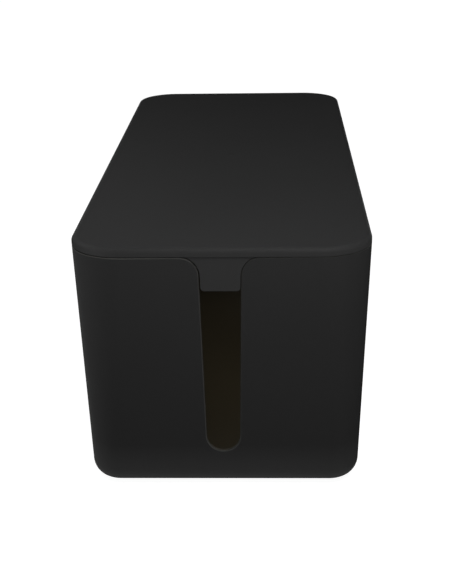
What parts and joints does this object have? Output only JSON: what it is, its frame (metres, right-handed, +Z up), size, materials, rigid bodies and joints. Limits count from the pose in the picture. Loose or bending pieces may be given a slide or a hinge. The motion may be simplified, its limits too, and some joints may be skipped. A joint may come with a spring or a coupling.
{
  "type": "lidded cable box",
  "caption": "Long rounded plastic box with a lift-off lid that hides a power strip; a tall round-ended cable outlet in each end wall.",
  "frame": {"origin": "on the surface the box stands on, under the centre of the box", "axes": "+X across the width, +Y along the length with the front outlet facing -Y, +Z up towards the lid"},
  "size_m": [0.157, 0.407, 0.138],
  "materials": {
    "body_plastic": "fine satin moulded texture, black",
    "lid_plastic": "fine satin moulded texture, black",
    "foot_rubber": "matt black"
  },
  "bodies": {
    "box": {"box_body": "body_plastic", "foot_front_left": "foot_rubber", "foot_front_right": "foot_rubber", "foot_rear_left": "foot_rubber", "foot_rear_right": "foot_rubber"},
    "lid": {"lid": "lid_plastic"}
  },
  "joints": [
    {"name": "lid_lift", "type": "slide", "parent": "box", "child": "lid", "axis": [0, 0, 1], "range_m": [0, 0.15]}
  ]
}
